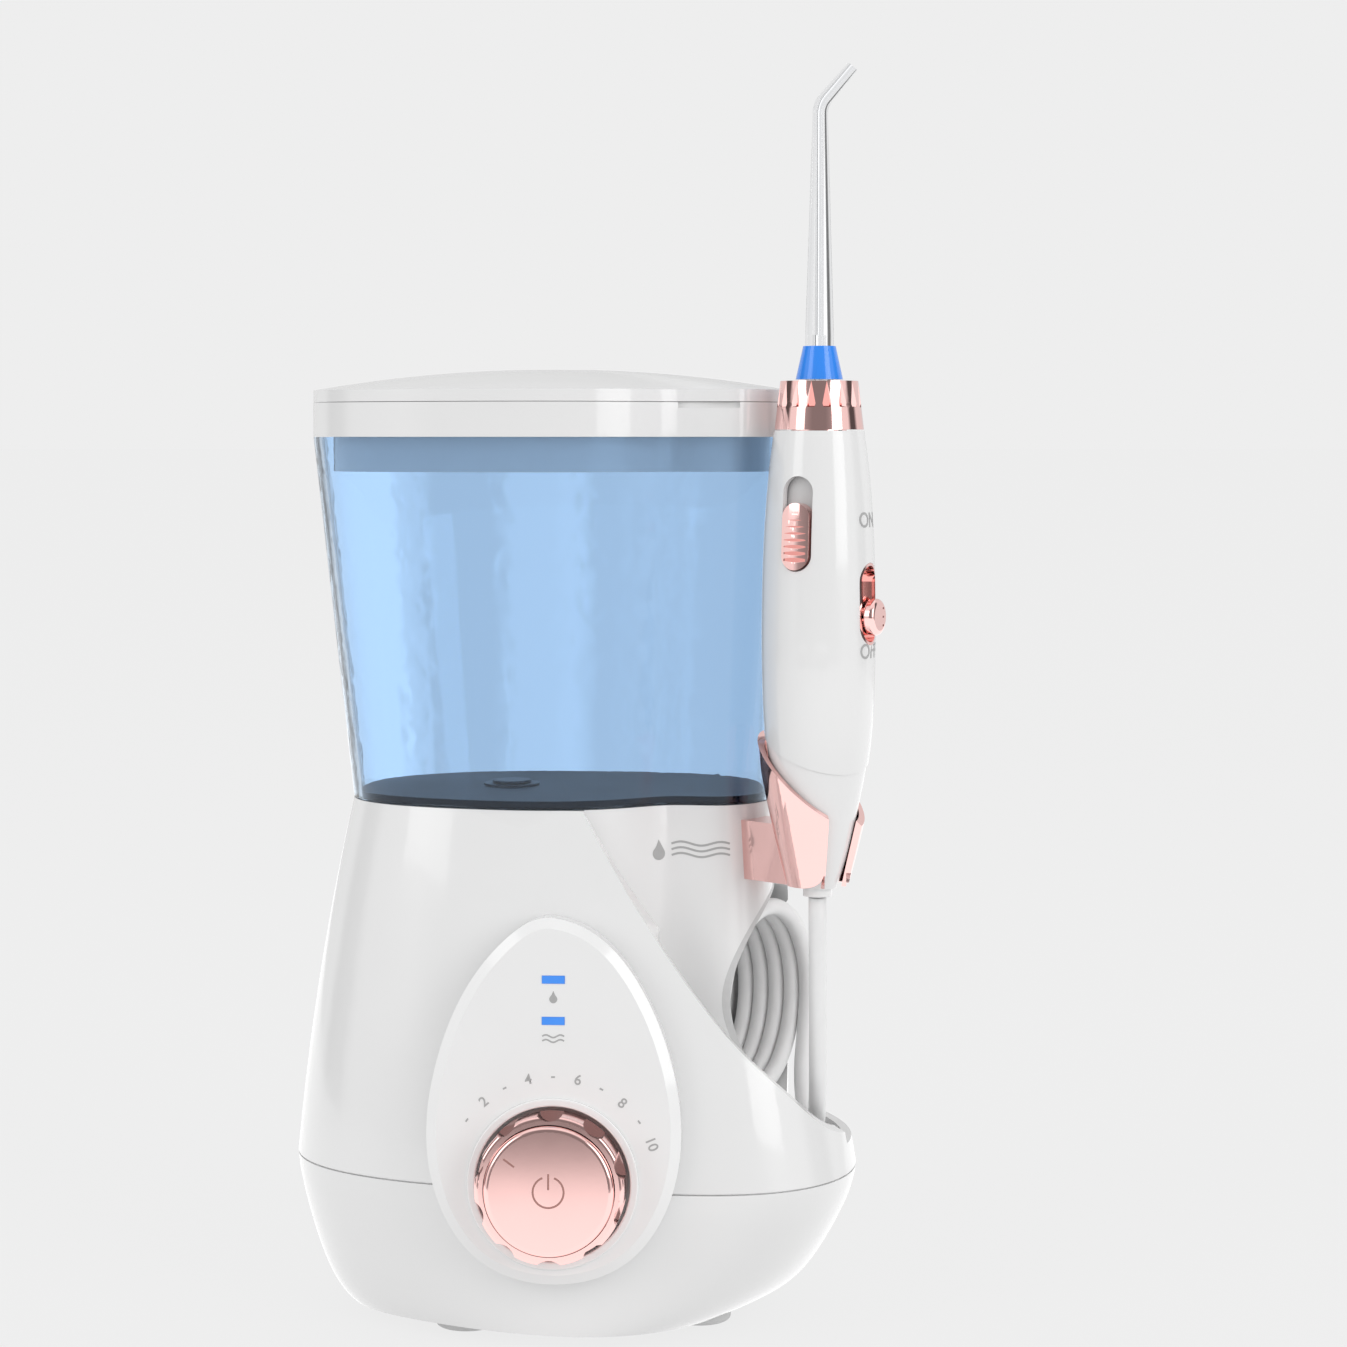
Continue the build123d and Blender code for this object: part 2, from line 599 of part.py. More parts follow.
def tip_collar():
    """Grooved collar that holds the tip and turns with it."""
    top = COLLAR_Z + COLLAR_H
    shape = cone(COLLAR_R[0], COLLAR_R[1], COLLAR_Z, top)
    for i in range(COLLAR_GROOVES):
        angle = 360 / COLLAR_GROOVES * (i + 0.5)
        groove = Rot(0, 0, 45) * Box(1.7, 1.7, 7.0)
        shape -= Rot(0, 0, angle) * Pos(10.9, 0, top - 3.2) * Rot(0, 6.0, 0) * groove
    shape -= rod(7.2, COLLAR_Z - 1, top - 2.0)
    shape += tube(7.15, 3.75, 233.0, top - 1.9)
    shape -= rod(3.75, 230, top + 1)
    return on_handle(shape)


def tip_ring():
    """Coloured ring that tells one user's tip from another's."""
    shape = cone(TIP_RING_R[0], TIP_RING_R[1], TIP_RING_Z[0], TIP_RING_Z[1])
    return on_handle(shape - rod(TIP_R[0], TIP_RING_Z[0] - 1, TIP_RING_Z[1] + 1))


def jet_tip():
    """Slim tube that bends over at the top and tapers to the nozzle."""
    stem = rod(TIP_R[0], 236.0, 262.0) + cone(TIP_R[0], TIP_R[1], 262.0, TIP_KNEE_Z - 6)
    end = (TIP_END[0] - HANDLE_X, 0, TIP_END[1])
    path = FilletPolyline((0, 0, TIP_KNEE_Z - 6), (0, 0, TIP_KNEE_Z + 2.5), end, radius=6.0)
    first = Plane(path @ 0, z_dir=path % 0) * Circle(TIP_R[1])
    last = Plane(path @ 1, z_dir=path % 1) * Circle(TIP_R[2] - 0.2)
    neck = sweep([first.face(), last.face()], path, multisection=True)
    bore_face = Plane(path @ 0, z_dir=path % 0) * Circle(TIP_BORE_R)
    bore = rod(TIP_BORE_R * 1.6, 235, 262.0) + rod(TIP_BORE_R, 261.0, TIP_KNEE_Z - 6)
    return on_handle(stem + neck - bore - sweep(bore_face, path))


# ---- reservoir and lid ----
TANK_BOTTOM_Z = NECK_Z + TANK_GAP
TANK_FLOOR_Z = 141.8      # top of the dark plate that closes the reservoir's foot
TANK_PORT_R = 4.5


def tank_solid(clearance=0.0, low=TANK_BOTTOM_Z, high=TANK_TOP_Z):
    span = TANK_TOP_Z - TANK_BOTTOM_Z
    foot_share = (low - TANK_BOTTOM_Z) / span
    top_share = (high - TANK_BOTTOM_Z) / span
    return lofted(
        (inset(blend(NECK_OUTLINE, RIM_OUTLINE, foot_share), clearance), low),
        (inset(blend(NECK_OUTLINE, RIM_OUTLINE, top_share), clearance), high),
    )


def reservoir_tank():
    return tank_solid() - tank_solid(TANK_WALL)


def reservoir_base():
    """Dark plate that is the tank's floor, with the outlet's hole."""
    shape = tank_solid(TANK_WALL + 0.02, low=TANK_BOTTOM_Z + 0.1, high=TANK_FLOOR_Z)
    return shape - Pos(*TANK_PORT) * rod(TANK_PORT_R, TANK_BOTTOM_Z - 1, TANK_FLOOR_Z + 4)


def outlet_valve():
    """Valve in the tank's floor: a flanged sleeve that plugs into the seal, with a plunger through it."""
    floor = TANK_FLOOR_Z
    sleeve = tube(TANK_PORT_R - 0.1, 3.0, NECK_Z - 2.7, floor + 0.5)
    sleeve += tube(7.5, 3.0, floor + 0.05, floor + 0.5)
    plunger = rod(2.2, NECK_Z - 2.3, floor + 1.3) + rod(5.2, floor + 0.7, floor + 1.3)
    spider = tube(3.1, 2.1, NECK_Z, NECK_Z + 1.0)
    return Pos(*TANK_PORT) * (sleeve + plunger + spider)


def tank_seal():
    """Rubber seat in the top of the casing that the reservoir's outlet stands in."""
    low = NECK_Z - WALL - 2.0
    seat = tube(8.95, TANK_PORT_R + 0.1, low, NECK_Z - 0.1) + tube(12.0, 8.0, low, NECK_Z - WALL)
    return Pos(*TANK_PORT) * seat


def lid_rim():
    """Ring that sits on the tank's edge, with the outer barrels of the cover's hinge behind it."""
    rim = prism(RIM_OUTLINE, TANK_TOP_Z + 0.05, LID_SEAM_Z)
    rim -= prism(inset(RIM_OUTLINE, LID_RIM_WIDTH), TANK_TOP_Z - 1.0, LID_SEAM_Z + 1)
    rim -= finger_notch()
    rim += hinge_barrel(HINGE_LENGTH)
    rim -= Pos(*HINGE_AT) * Rot(0, 90, 0) * Cylinder(3.0, HINGE_MIDDLE + 0.6)
    return rim - Pos(*HINGE_AT) * Rot(0, 90, 0) * Cylinder(1.02, HINGE_LENGTH + 10)


def lid_tray():
    """Floor of the tip compartment, with the skirt that stands inside the tank."""
    edge = LID_RIM_WIDTH + 0.02
    tray = prism(inset(RIM_OUTLINE, edge), 227.0, LID_FLOOR_Z)
    return tray - prism(inset(RIM_OUTLINE, edge + 1.8), 226.0, LID_FLOOR_Z - 1.9)


def tip_nest_strip():
    """Five round nests for spare tips on one strip."""
    ends = (TIP_NESTS[0][0] - 6.0, TIP_NESTS[-1][0] + 6.0)
    strip = block(ends, (0.0, 12.0), (LID_FLOOR_Z, LID_FLOOR_Z + 0.8))
    for x, y in TIP_NESTS:
        strip += Pos(x, y, 0) * rod(5.4, LID_FLOOR_Z, LID_SEAM_Z - 0.6)
        strip -= Pos(x, y, 0) * rod(4.2, LID_FLOOR_Z + 0.8, LID_SEAM_Z)
    return strip


LID_RIM_WIDTH = 5.2
LID_FLOOR_Z = TANK_TOP_Z + 4.1
TIP_NESTS = [(-34.0 + 17.0 * i, 6.0) for i in range(5)]
HINGE_AT = (5.0, 46.9, LID_SEAM_Z)
HINGE_LENGTH = 26.0
HINGE_MIDDLE = 12.0
HINGE_R = 2.2


def hinge_barrel(length):
    """A hinge barrel behind the lid's back edge, with a tab to join it to the lid."""
    x, y, z = HINGE_AT
    barrel = Pos(x, y, z) * Rot(0, 90, 0) * Cylinder(HINGE_R, length)
    barrel &= block((x - length, x + length), (y - 1.6, y + 5.0), (z - 5.0, z + 5.0))
    return barrel + block((x - length / 2, x + length / 2), (y - 4.0, y), (z - HINGE_R, z - 0.2))


def finger_notch():
    """Hollow under the cover's front edge, where a finger lifts it."""
    return Pos(41.0, -34.5, LID_SEAM_Z) * Box(16.0, 8.0, 3.0)


def lid_cover():
    """Domed cover over the tip compartment, hinged along the back."""
    shape = prism(inset(RIM_OUTLINE, 0.1), LID_SEAM_Z + 0.15, COVER_EDGE_Z)
    rise = COVER_TOP_Z - COVER_EDGE_Z
    steps = (1.0, 0.82, 0.62, 0.4, 0.18)
    edge = inset(RIM_OUTLINE, 0.1)
    shape += lofted(*[(scaled(edge, s), COVER_EDGE_Z + rise * (1 - s * s)) for s in steps])
    hollow = (0.9, 0.7, 0.45, 0.2)
    depth = rise - 2.0
    shape -= lofted(*[(scaled(RIM_OUTLINE, s), COVER_EDGE_Z - 1.2 + depth * (1 - s * s)) for s in hollow])
    shape -= prism(scaled(RIM_OUTLINE, 0.9), LID_SEAM_Z, COVER_EDGE_Z - 0.4)
    x, y, z = HINGE_AT
    half = HINGE_MIDDLE / 2
    shape += Pos(x, y, z) * Rot(0, 90, 0) * Cylinder(HINGE_R, HINGE_MIDDLE)
    shape += block((x - half, x + half), (y - 5.0, y), (z + 0.3, z + HINGE_R))
    return shape - Pos(*HINGE_AT) * Rot(0, 90, 0) * Cylinder(1.06, HINGE_LENGTH + 10)


def hinge_pin():
    return Pos(*HINGE_AT) * Rot(0, 90, 0) * Cylinder(1.0, HINGE_LENGTH)


# ---- drive train ----
def gear(teeth, bore):
    """Spur gear with straight-flanked teeth, relieved for running clearance."""
    pitch_r = GEAR_MODULE * teeth / 2
    root_r = pitch_r - 1.15 * GEAR_MODULE
    tip_r = pitch_r + 0.8 * GEAR_MODULE
    half_root = GEAR_MODULE * 0.80
    half_tip = GEAR_MODULE * 0.32
    shape = rod(root_r, 0, GEAR_T)
    inside = root_r - 0.4
    corners = [(inside, -half_root), (tip_r, -half_tip), (tip_r, half_tip), (inside, half_root)]
    tooth = Polyline(*corners, close=True)
    solid = extrude(make_face(tooth), amount=GEAR_T, dir=(0, 0, 1))
    for i in range(teeth):
        shape += Rot(0, 0, 360 / teeth * i) * solid
    return shape - rod(bore, -1, GEAR_T + 1)


def motor():
    can = rod(17.0, 74.0, 122.0)
    can = fillet(can.edges().group_by(Axis.Z)[-1], 2.0)
    boss = rod(5.0, 71.0, 74.5) - rod(1.56, 70, 76)
    return Pos(*MOTOR_AXIS, 0) * (can - rod(1.56, 70, 112) + boss)


def motor_pinion():
    shaft = rod(1.5, GEAR_Z - 4.0, 108.0)
    turn = 180 / PINION_TEETH
    return Pos(*MOTOR_AXIS, 0) * (Rot(0, 0, turn) * Pos(0, 0, GEAR_Z) * gear(PINION_TEETH, 1.4) + shaft)


def cam_wheel():
    wheel = Pos(0, 0, GEAR_Z) * gear(WHEEL_TEETH, 2.05)
    cam = Pos(CAM_OFFSET, 0, 0) * rod(CAM_R, GEAR_Z - 15.0, GEAR_Z + 0.1)
    return Pos(*WHEEL_AXIS, 0) * (wheel + cam - rod(2.05, GEAR_Z - 20, GEAR_Z + 8))


def drive_frame():
    """Plate that carries the motor, the wheel's axle and the pump."""
    plate = block((-50, 14), (-12, 28), (67.0, 70.8))
    plate -= Pos(*MOTOR_AXIS, 0) * rod(1.56, 60, 75)
    plate += Pos(*WHEEL_AXIS, 0) * rod(2.0, GEAR_Z - 16.0, 67.1)
    for x, y in ((-48, -10), (-48, 8), (11, -12), (11, 22)):
        plate += block((x, x + 3), (y, y + 6), (BASE_BOTTOM_Z + WALL + 0.05, 67.1))
    return plate


PUMP_Z = GEAR_Z - 9.5
PISTON_NOSE_X = WHEEL_AXIS[0] + CAM_OFFSET + CAM_R + 0.5


def pump_cylinder():
    barrel = tube(8.0, 5.04, 8.0, 30.0) + rod(8.0, 29.9, 34.0)
    port = Pos(0, 0, 26.0) * Rot(0, 90, 0) * rod(3.0, 6.0, 18.0)
    shape = Rot(0, 90, 0) * (barrel + port - Pos(0, 0, 26) * Rot(0, 90, 0) * rod(1.5, 0, 20))
    return Pos(PISTON_NOSE_X - 4.0, WHEEL_AXIS[1], PUMP_Z) * shape


def pump_piston():
    plunger = rod(5.0, 0, 22.0) + tube(7.5, 4.9, 0, 1.6)
    return Pos(PISTON_NOSE_X, WHEEL_AXIS[1], PUMP_Z) * Rot(0, 90, 0) * plunger


def circuit_board():
    board = block((-8.0, -6.4), (-14.0, 22.0), (78.0, 120.0))
    for y, z, size in ((-8, 84, 8), (2, 100, 12), (10, 84, 6)):
        board += block((-6.5, -2.0), (y, y + size), (z, z + size))
    return board


def main():
    os.makedirs("parts", exist_ok=True)
    upper = upper_casing()
    outside = casing_outside()
    bowl = bowl_solid()
    write(upper, "upper_casing")
    write(lower_casing(), "lower_casing")
    write(control_panel([outside, bowl]), "control_panel")
    write(dial_bezel(), "dial_bezel")
    write(pressure_dial(), "pressure_dial")
    write(power_button(), "power_button")
    write(pressure_valve(), "pressure_valve")
    for i, y in enumerate(INDICATOR_Y):
        write(indicator_lens(y), f"indicator_lens_{i + 1}")
    for i, place in enumerate(FOOT_PLACES):
        write(foot(*place), f"rubber_foot_{i + 1}")
    for i, place in enumerate(SCREW_PLACES):
        write(casing_screw(*place), f"casing_screw_{i + 1}")
    write(cord_gland(), "cord_gland")
    write(hose_cup(outside), "hose_cup")
    write(hose_coil(), "hose_coil")
    write(hose_nipple(), "hose_nipple")
    write(hose_lead(), "hose_lead")
    write(cradle(), "handle_cradle")
    write(handle_shell(), "handle_shell")
    write(handle_end_cap(), "handle_end_cap")
    write(strain_relief(), "strain_relief")
    write(eject_track(), "tip_release_track")
    write(tip_release(), "tip_release")
    write(switch_recess(), "switch_recess")
    write(flow_switch(), "flow_switch")
    write(handle_core(), "handle_core")
    write(tip_collar(), "tip_collar")
    write(tip_ring(), "tip_ring")
    write(jet_tip(), "jet_tip")
    write(reservoir_tank(), "reservoir_tank")
    write(reservoir_base(), "reservoir_base")
    write(outlet_valve(), "outlet_valve")
    write(tank_seal(), "tank_seal")
    write(lid_rim(), "lid_rim")
    write(lid_tray(), "lid_tray")
    write(tip_nest_strip(), "tip_nests")
    write(lid_cover(), "lid_cover")
    write(hinge_pin(), "lid_hinge_pin")
    write(motor(), "motor")
    write(motor_pinion(), "motor_pinion")
    write(cam_wheel(), "cam_wheel")
    write(drive_frame(), "drive_frame")
    write(pump_cylinder(), "pump_cylinder")
    write(pump_piston(), "pump_piston")
    write(circuit_board(), "circuit_board")


main()
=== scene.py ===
import json
import math

import bmesh
import bpy
from mathutils import Matrix, Vector
from mathutils.bvhtree import BVHTree


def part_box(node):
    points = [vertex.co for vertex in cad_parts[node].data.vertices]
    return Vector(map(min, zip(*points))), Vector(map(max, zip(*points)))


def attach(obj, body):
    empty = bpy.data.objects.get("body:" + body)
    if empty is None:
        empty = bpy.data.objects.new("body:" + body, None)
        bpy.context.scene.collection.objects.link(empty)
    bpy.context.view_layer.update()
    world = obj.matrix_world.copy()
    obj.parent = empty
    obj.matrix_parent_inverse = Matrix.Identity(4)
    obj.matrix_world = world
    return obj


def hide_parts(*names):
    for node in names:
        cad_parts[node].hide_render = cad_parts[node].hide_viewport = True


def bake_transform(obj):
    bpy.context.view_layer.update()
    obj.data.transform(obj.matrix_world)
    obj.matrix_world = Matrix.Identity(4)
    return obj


# Looks of the countertop water flosser. Metres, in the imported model's frame: +Z up, the user on the -Y side.

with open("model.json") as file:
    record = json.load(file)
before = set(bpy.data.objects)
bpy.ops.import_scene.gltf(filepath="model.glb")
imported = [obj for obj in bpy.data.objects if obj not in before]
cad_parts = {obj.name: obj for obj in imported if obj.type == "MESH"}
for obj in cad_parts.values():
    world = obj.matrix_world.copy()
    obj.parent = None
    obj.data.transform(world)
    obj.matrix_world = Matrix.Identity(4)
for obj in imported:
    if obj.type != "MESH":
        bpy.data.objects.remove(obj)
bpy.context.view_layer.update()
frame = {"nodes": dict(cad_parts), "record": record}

JOINTS = {joint["name"]: joint for joint in frame["record"]["behaviour"]["joints"]}
MM = 0.001


# ---- camera, stage and light ----
CAMERA_AT = (0.0662, -0.8183, 0.236)
CAMERA_HEADING = 3.0      # degrees, turned left from +Y
CAMERA_PITCH = -4.4
LENS_MM = 82.16
BACKDROP = 0.855
FLOOR_GLOW = (0.54, 0.768)    # on the flosser, and to the eye
FLOOR_HALF = 60.0
LIGHTS_AIM_AT = Vector((0, 0, 0.15))


def aim_camera():
    bpy.context.scene.view_settings.view_transform = "Standard"
    data = bpy.data.cameras.new("camera")
    data.lens = LENS_MM
    data.sensor_width = 36.0
    data.clip_start = 0.01
    camera = bpy.data.objects.new("camera", data)
    camera.location = CAMERA_AT
    camera.rotation_euler = (math.radians(90 + CAMERA_PITCH), 0, math.radians(CAMERA_HEADING))
    bpy.context.scene.collection.objects.link(camera)
    bpy.context.scene.camera = camera


def add_stage():
    """A pale floor that glows evenly enough to run into the backdrop without a horizon."""
    mesh = bpy.data.meshes.new("floor")
    half = FLOOR_HALF
    corners = [(-half, -half, 0), (half, -half, 0), (half, half, 0), (-half, half, 0)]
    mesh.from_pydata(corners, [], [(0, 1, 2, 3)])
    floor = bpy.data.objects.new("floor", mesh)
    bpy.context.scene.collection.objects.link(floor)
    material, shader = new_material("stage_floor")
    shader.inputs["Base Color"].default_value = (0.10, 0.10, 0.10, 1)
    shader.inputs["Roughness"].default_value = 0.9
    shader.inputs["Specular IOR Level"].default_value = 0.0
    shader.inputs["Emission Color"].default_value = (1, 1, 1, 1)
    path = material.node_tree.nodes.new("ShaderNodeLightPath")
    glow = material.node_tree.nodes.new("ShaderNodeMapRange")
    glow.inputs["To Min"].default_value = FLOOR_GLOW[0]
    glow.inputs["To Max"].default_value = FLOOR_GLOW[1]
    material.node_tree.links.new(path.outputs["Is Camera Ray"], glow.inputs["Value"])
    material.node_tree.links.new(glow.outputs["Result"], shader.inputs["Emission Strength"])
    mesh.materials.append(material)
    floor.visible_glossy = False
    floor.visible_transmission = False


# What a glossy surface sees: brightness by heading round the flosser, 0.5 straight ahead on the user's side,
# with dark gaps between the softboxes.
STUDIO_BANDS = [
    (0.00, 0.68), (0.08, 0.78), (0.17, 0.85), (0.20, 0.10), (0.245, 0.10), (0.27, 0.95), (0.36, 1.0), (0.39, 0.40),
    (0.45, 0.26), (0.55, 0.26), (0.61, 0.42), (0.64, 1.0), (0.73, 0.95), (0.755, 0.10), (0.80, 0.10), (0.83, 0.85),
    (0.92, 0.78), (1.00, 0.68),
]
# What is seen through the reservoir and the clear tip: upright bands of light and a dark gap, by degrees left of
# straight behind the flosser.
BEHIND_SPAN_DEG = 40.0
BANDS_BEHIND = [
    (0.0, 0.78), (2.4, 0.79), (3.2, 0.85), (3.9, 0.80), (4.2, 0.80), (4.7, 0.97), (5.2, 0.93), (6.1, 0.92),
    (6.5, 0.78), (7.75, 0.78), (8.1, 0.92), (8.8, 1.00), (9.2, 1.15), (13.0, 1.15), (20.0, 1.00), (23.0, 0.15),
    (32.0, 0.15), (40.0, 0.78),
]
HORIZON_SIN = (-0.102, -0.093)    # where the glossy world turns from BELOW_LEVEL to the bands
OVERHEAD_SIN = (0.70, 0.85)       # and from the bands to OVERHEAD_LEVEL
BELOW_LEVEL = 1.25
OVERHEAD_LEVEL = 1.0
# Brightness that lights matt surfaces, from straight down at 0 to straight up at 1.
DIFFUSE_BY_HEIGHT = [(0.0, 0.92), (0.4, 1.07), (0.65, 1.07), (0.88, 0.74), (1.0, 0.62)]


def add_ramp(tree, source, stops):
    """Brightness along a 0 to 1 value, by (place, level) stops."""
    ramp = tree.nodes.new("ShaderNodeValToRGB")
    elements = ramp.color_ramp.elements
    elements.remove(elements[1])
    elements[0].position = stops[0][0]
    for place, _ in stops[1:]:
        elements.new(place)
    for element, (_, level) in zip(elements, stops):
        element.color = (level, level, level, 1)
    tree.links.new(source, ramp.inputs["Fac"])
    return ramp.outputs["Color"]


def add_map(tree, source, low, high):
    """A 0 to 1 value as the source goes from low to high."""
    span = tree.nodes.new("ShaderNodeMapRange")
    span.inputs["From Min"].default_value = low
    span.inputs["From Max"].default_value = high
    tree.links.new(source, span.inputs["Value"])
    return span.outputs["Result"]


def add_mix(tree, share, low, high):
    """A colour mix; low and high are sockets or levels."""
    mix = tree.nodes.new("ShaderNodeMix")
    mix.data_type = "RGBA"
    tree.links.new(share, mix.inputs[0])
    for slot, value in ((6, low), (7, high)):
        if isinstance(value, float):
            mix.inputs[slot].default_value = (value, value, value, 1)
        else:
            tree.links.new(value, mix.inputs[slot])
    return mix.outputs[2]


def add_world():
    """Even pale light; glossy surfaces see softboxes with dark gaps between them."""
    world = bpy.data.worlds.new("studio")
    bpy.context.scene.world = world
    world.use_nodes = True
    tree = world.node_tree
    tree.nodes.clear()
    split = tree.nodes.new("ShaderNodeSeparateXYZ")
    tree.links.new(tree.nodes.new("ShaderNodeTexCoord").outputs["Generated"], split.inputs[0])
    heading = tree.nodes.new("ShaderNodeMath")
    heading.operation = "ARCTAN2"
    flip = tree.nodes.new("ShaderNodeMath")
    flip.operation = "MULTIPLY"
    flip.inputs[1].default_value = -1.0
    tree.links.new(split.outputs["Y"], flip.inputs[0])
    tree.links.new(split.outputs["X"], heading.inputs[0])
    tree.links.new(flip.outputs[0], heading.inputs[1])
    bands = add_ramp(tree, add_map(tree, heading.outputs[0], -math.pi, math.pi), STUDIO_BANDS)
    behind = add_map(tree, heading.outputs[0], -math.pi, -math.pi + math.radians(BEHIND_SPAN_DEG))
    behind = add_ramp(tree, behind, [(degrees / BEHIND_SPAN_DEG, level) for degrees, level in BANDS_BEHIND])
    below = add_map(tree, split.outputs["Z"], *HORIZON_SIN)
    glossy = add_mix(tree, below, BELOW_LEVEL, bands)
    glossy = add_mix(tree, add_map(tree, split.outputs["Z"], *OVERHEAD_SIN), glossy, OVERHEAD_LEVEL)
    path = tree.nodes.new("ShaderNodeLightPath")
    diffuse = add_ramp(tree, add_map(tree, split.outputs["Z"], -1.0, 1.0), DIFFUSE_BY_HEIGHT)
    lit = add_mix(tree, path.outputs["Is Diffuse Ray"], glossy, diffuse)
    lit = add_mix(tree, path.outputs["Is Transmission Ray"], lit, behind)
    lit = add_mix(tree, path.outputs["Is Camera Ray"], lit, BACKDROP)
    shine = tree.nodes.new("ShaderNodeBackground")
    tree.links.new(lit, shine.inputs["Color"])
    output = tree.nodes.new("ShaderNodeOutputWorld")
    tree.links.new(shine.outputs[0], output.inputs["Surface"])


def add_softbox(name, at, size, watts):
    """A rectangular light that faces the middle of the flosser."""
    data = bpy.data.lights.new(name, "AREA")
    data.shape = "RECTANGLE"
    data.size, data.size_y = size
    data.energy = watts
    light = bpy.data.objects.new(name, data)
    light.location = at
    light.rotation_euler = (LIGHTS_AIM_AT - Vector(at)).to_track_quat("-Z", "Y").to_euler()
    bpy.context.scene.collection.objects.link(light)


def add_lights():
    add_softbox("key_left", (-1.5, -1.3, 1.0), (0.9, 1.2), 5.5)
    add_softbox("key_right", (1.4, -1.2, 0.8), (0.9, 1.2), 8.0)
    add_softbox("top", (0.0, 0.2, 1.8), (1.6, 1.2), 0.5)


# ---- materials ----
def new_material(name):
    material = bpy.data.materials.new(name)
    material.use_nodes = True
    return material, material.node_tree.nodes["Principled BSDF"]


def add_uneven_shine(material, shader, scale, rough_low, rough_high):
    """A noise that drives the roughness."""
    nodes, links = material.node_tree.nodes, material.node_tree.links
    coords = nodes.new("ShaderNodeTexCoord")
    noise = nodes.new("ShaderNodeTexNoise")
    noise.inputs["Scale"].default_value = scale
    noise.inputs["Detail"].default_value = 4.0
    links.new(coords.outputs["Object"], noise.inputs["Vector"])
    rough = nodes.new("ShaderNodeMapRange")
    rough.inputs["To Min"].default_value = rough_low
    rough.inputs["To Max"].default_value = rough_high
    links.new(noise.outputs["Fac"], rough.inputs["Value"])
    links.new(rough.outputs["Result"], shader.inputs["Roughness"])
    return noise


def add_grain(material, shader, scale, strength, distance, rough_low, rough_high):
    """Fine surface unevenness: a noise that drives both roughness and a shallow bump."""
    nodes, links = material.node_tree.nodes, material.node_tree.links
    noise = add_uneven_shine(material, shader, scale, rough_low, rough_high)
    bump = nodes.new("ShaderNodeBump")
    bump.inputs["Strength"].default_value = strength
    bump.inputs["Distance"].default_value = distance
    links.new(noise.outputs["Fac"], bump.inputs["Height"])
    links.new(bump.outputs["Normal"], shader.inputs["Normal"])
    return noise


def add_tint(material, shader, noise, low, high):
    """Slight colour variation from the same noise."""
    nodes, links = material.node_tree.nodes, material.node_tree.links
    ramp = nodes.new("ShaderNodeValToRGB")
    ramp.color_ramp.elements[0].color = (*low, 1)
    ramp.color_ramp.elements[1].color = (*high, 1)
    links.new(noise.outputs["Fac"], ramp.inputs["Fac"])
    links.new(ramp.outputs["Color"], shader.inputs["Base Color"])


def gloss_plastic(name, low, high, coat=0.4):
    material, shader = new_material(name)
    noise = add_grain(material, shader, 45.0, 0.02, 0.0004, 0.10, 0.16)
    add_tint(material, shader, noise, low, high)
    shader.inputs["Coat Weight"].default_value = coat
    shader.inputs["Coat Roughness"].default_value = 0.04
    return material


def satin_plastic(name, low, high, rough=(0.38, 0.5)):
    material, shader = new_material(name)
    noise = add_grain(material, shader, 600.0, 0.08, 0.0003, *rough)
    add_tint(material, shader, noise, low, high)
    return material


def dark_plate(name):
    """Nearly black plastic with almost no shine at a glancing angle."""
    material, shader = new_material(name)
    noise = add_grain(material, shader, 30.0, 0.03, 0.0004, 0.32, 0.45)
    add_tint(material, shader, noise, (0.010, 0.012, 0.018), (0.022, 0.026, 0.036))
    shader.inputs["Specular IOR Level"].default_value = 0.12
    return material


def plated_metal(name, low, high, rough=(0.05, 0.09)):
    material, shader = new_material(name)
    shader.inputs["Metallic"].default_value = 1.0
    noise = add_grain(material, shader, 60.0, 0.01, 0.0003, *rough)
    add_tint(material, shader, noise, low, high)
    return material


def clear_plastic(name, colour, ior):
    """Clear through and through, with a shine that hardly varies."""
    material, shader = new_material(name)
    add_uneven_shine(material, shader, 20.0, 0.0, 0.008)
    shader.inputs["Base Color"].default_value = (*colour, 1)
    shader.inputs["Transmission Weight"].default_value = 1.0
    shader.inputs["IOR"].default_value = ior
    return material


def silicone(name):
    material, shader = new_material(name)
    noise = add_grain(material, shader, 220.0, 0.05, 0.0003, 0.36, 0.48)
    add_tint(material, shader, noise, (0.80, 0.80, 0.80), (0.86, 0.86, 0.86))
    shader.inputs["Subsurface Weight"].default_value = 0.1
    shader.inputs["Subsurface Radius"].default_value = (0.004, 0.004, 0.004)
    return material


def lit_lens(name):
    material, shader = new_material(name)
    noise = add_grain(material, shader, 300.0, 0.05, 0.0002, 0.25, 0.35)
    add_tint(material, shader, noise, (0.04, 0.24, 0.80), (0.06, 0.28, 0.86))
    shader.inputs["Emission Color"].default_value = (0.03, 0.10, 0.30, 1)
    shader.inputs["Emission Strength"].default_value = 0.4
    return material


def printed_ink(name):
    material, shader = new_material(name)
    noise = add_grain(material, shader, 900.0, 0.05, 0.0001, 0.4, 0.5)
    add_tint(material, shader, noise, (0.38, 0.38, 0.38), (0.44, 0.44, 0.44))
    return material


